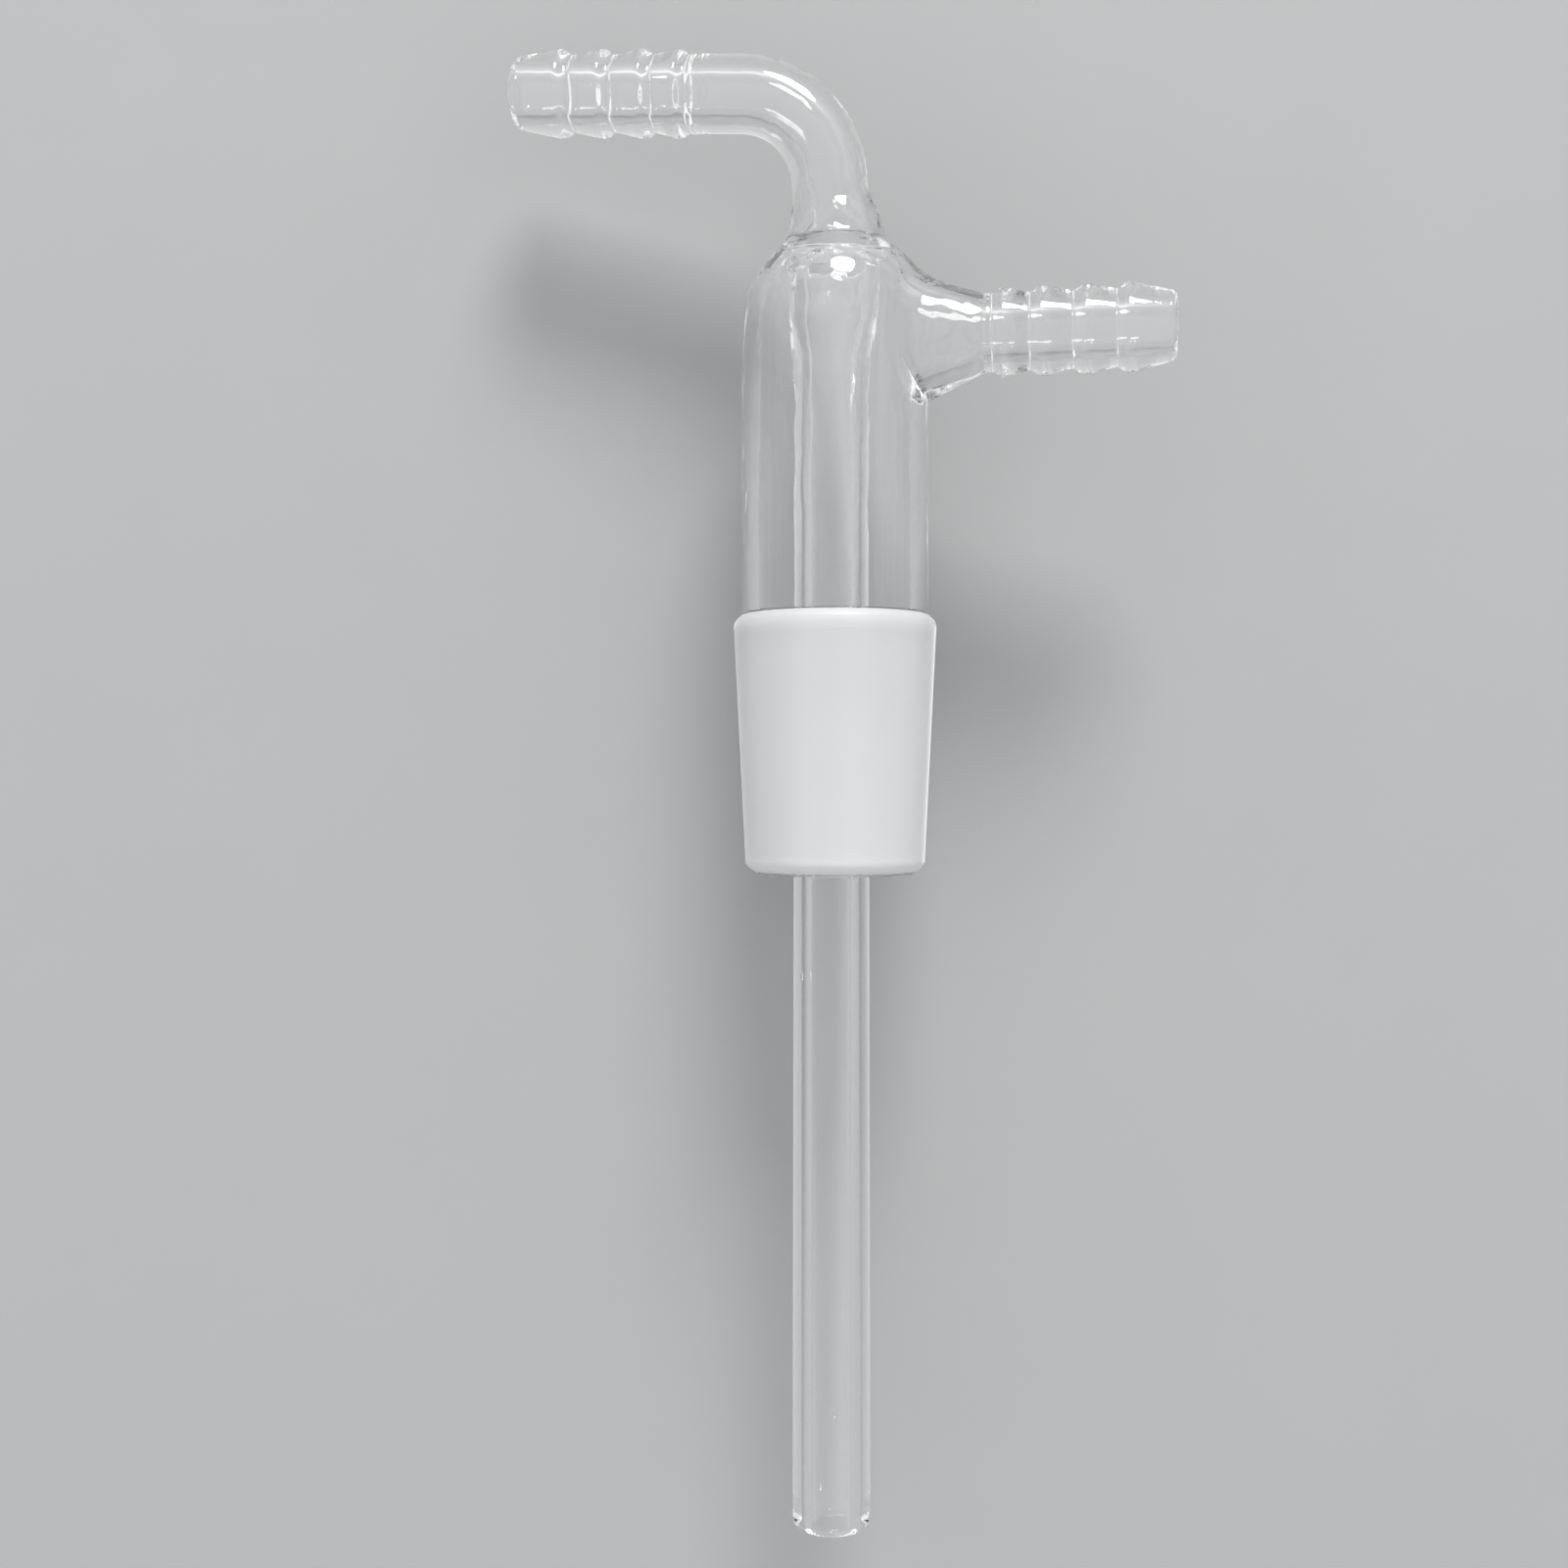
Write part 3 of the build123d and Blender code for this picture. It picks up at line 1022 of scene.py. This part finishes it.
class GLASSHEAD_OT_stage(bpy.types.Operator):
    """Make the backdrop, the lights and the camera"""

    bl_idname = "glasshead.stage"
    bl_label = "Stage"

    def backdrop(self, towards, right):
        """Stand a plain sheet behind the glass that shows from the front only."""
        made = bpy.data.materials.new("Backdrop")
        tree, shader = node_tree(made)
        nodes, links = tree.nodes, tree.links
        shader.inputs["Roughness"].default_value = 0.75
        shader.inputs["Specular IOR Level"].default_value = 0.25
        place, grain = nodes.new("ShaderNodeTexCoord"), nodes.new("ShaderNodeTexNoise")
        tint = nodes.new("ShaderNodeMix")
        tint.data_type = "RGBA"
        base = settings().finishes.backdrop
        tint.inputs["A"].default_value = base
        tint.inputs["B"].default_value = [c * 0.97 for c in base[:3]] + [1.0]
        grain.inputs["Scale"].default_value = 60
        grain.inputs["Detail"].default_value = 5
        links.new(place.outputs["Object"], grain.inputs["Vector"])
        links.new(grain.outputs["Fac"], tint.inputs["Factor"])
        links.new(tint.outputs["Result"], shader.inputs["Base Color"])
        geometry, mix = nodes.new("ShaderNodeNewGeometry"), nodes.new("ShaderNodeMixShader")
        clear = nodes.new("ShaderNodeBsdfTransparent")
        links.new(geometry.outputs["Backfacing"], mix.inputs["Fac"])
        links.new(shader.outputs["BSDF"], mix.inputs[1])
        links.new(clear.outputs["BSDF"], mix.inputs[2])
        links.new(mix.outputs["Shader"], nodes["Material Output"].inputs["Surface"])
        half = 0.7
        centre = -towards * settings().stage.backdrop_gap
        up = Vector((0, 0, 1))
        signs = ((-1, -1), (1, -1), (1, 1), (-1, 1))
        corners = [centre + right * a * half + up * b * half for a, b in signs]
        mesh = bpy.data.meshes.new("Backdrop")
        mesh.from_pydata(corners, [], [(0, 1, 2, 3)])
        mesh.materials.append(made)
        sheet = bpy.data.objects.new("Backdrop", mesh)
        bpy.context.scene.collection.objects.link(sheet)

    def lamp(self, name, place, aim, width, height, power):
        """Hang an oval area lamp that faces a point."""
        data = bpy.data.lights.new(name, "AREA")
        data.shape = "ELLIPSE"
        data.size, data.size_y, data.energy = width, height, power
        lamp = bpy.data.objects.new(name, data)
        lamp.location = place
        lamp.rotation_mode = "QUATERNION"
        lamp.rotation_quaternion = (place - aim).to_track_quat("Z", "Y")
        bpy.context.scene.collection.objects.link(lamp)
        return lamp

    def execute(self, context):
        stage = settings().stage
        scene = bpy.context.scene
        towards = Vector((math.sin(stage.azimuth), -math.cos(stage.azimuth), 0))
        right = Vector((math.cos(stage.azimuth), math.sin(stage.azimuth), 0))
        self.backdrop(towards, right)
        data = bpy.data.cameras.new("Camera")
        data.lens, data.sensor_width = stage.lens, 36.0
        data.clip_start, data.clip_end = 0.01, 20
        camera = bpy.data.objects.new("Camera", data)
        up = Vector((0, 0, 1))
        camera.location = (
            towards * stage.distance + right * stage.camera_side + up * stage.camera_height
        )
        camera.rotation_mode = "QUATERNION"
        camera.rotation_quaternion = towards.to_track_quat("Z", "Y")
        scene.collection.objects.link(camera)
        scene.camera = camera
        aim = up * 20 * MM
        low, key_distance = math.radians(31), 1.5
        key_way = up * math.cos(low) + towards * math.sin(low) + right * 0.12
        self.lamp("Key", aim + key_way * key_distance, aim, width=0.62, height=0.46, power=20.5)
        world = bpy.data.worlds.new("Room")
        scene.world = world
        world.use_nodes = True
        nodes, links = world.node_tree.nodes, world.node_tree.links
        light, seen = nodes["Background"], nodes.new("ShaderNodeBackground")
        light.inputs["Color"].default_value = (0.97, 0.985, 1.0, 1.0)
        light.inputs["Strength"].default_value = 1.02
        seen.inputs["Color"].default_value = (0.5, 0.5, 0.5, 1.0)
        rays, mix = nodes.new("ShaderNodeLightPath"), nodes.new("ShaderNodeMixShader")
        links.new(rays.outputs["Is Camera Ray"], mix.inputs["Fac"])
        links.new(light.outputs["Background"], mix.inputs[1])
        links.new(seen.outputs["Background"], mix.inputs[2])
        links.new(mix.outputs["Shader"], nodes["World Output"].inputs["Surface"])
        scene.view_settings.view_transform = "Standard"
        scene.cycles.max_bounces = 512
        scene.cycles.transmission_bounces = 512
        scene.cycles.transparent_max_bounces = 64
        scene.cycles.glossy_bounces = 64
        scene.cycles.diffuse_bounces = 4
        return {"FINISHED"}


PIECES = (
    GLASSHEAD_OT_ground_cone,
    GLASSHEAD_OT_body_tube,
    GLASSHEAD_OT_side_arm,
    GLASSHEAD_OT_ring_seal,
    GLASSHEAD_OT_dip_tube,
    GLASSHEAD_OT_inlet_bend,
    GLASSHEAD_OT_hose_barbs,
    GLASSHEAD_OT_stage,
)


class GLASSHEAD_PG_all(bpy.types.PropertyGroup):
    """Everything that can be set."""

    sizes: PointerProperty(type=GLASSHEAD_PG_sizes)
    finishes: PointerProperty(type=GLASSHEAD_PG_finishes)
    stage: PointerProperty(type=GLASSHEAD_PG_stage)


class GLASSHEAD_PT_panel(bpy.types.Panel):
    """Lists the settings and the pieces"""

    bl_idname = "GLASSHEAD_PT_panel"
    bl_label = "Glass head"
    bl_space_type = "VIEW_3D"
    bl_region_type = "UI"
    bl_category = "Glass head"

    def draw(self, context):
        layout = self.layout
        everything = context.scene.glass_head
        for group in (everything.sizes, everything.finishes, everything.stage):
            box = layout.box()
            for name in group.__annotations__:
                box.prop(group, name)
        for piece in PIECES:
            layout.operator(piece.bl_idname)


CLASSES = (
    GLASSHEAD_PG_sizes,
    GLASSHEAD_PG_finishes,
    GLASSHEAD_PG_stage,
    GLASSHEAD_PG_all,
    *PIECES,
    GLASSHEAD_PT_panel,
)


def register():
    """Add the classes and the scene's settings."""
    for cls in CLASSES:
        bpy.utils.register_class(cls)
    bpy.types.Scene.glass_head = PointerProperty(type=GLASSHEAD_PG_all)


def unregister():
    """Take the classes and the scene's settings away."""
    del bpy.types.Scene.glass_head
    for cls in reversed(CLASSES):
        bpy.utils.unregister_class(cls)


def main():
    """Make every piece and the stage."""
    register()
    for piece in PIECES:
        group, name = piece.bl_idname.split(".")
        getattr(getattr(bpy.ops, group), name)()


if __name__ == "__main__":
    main()
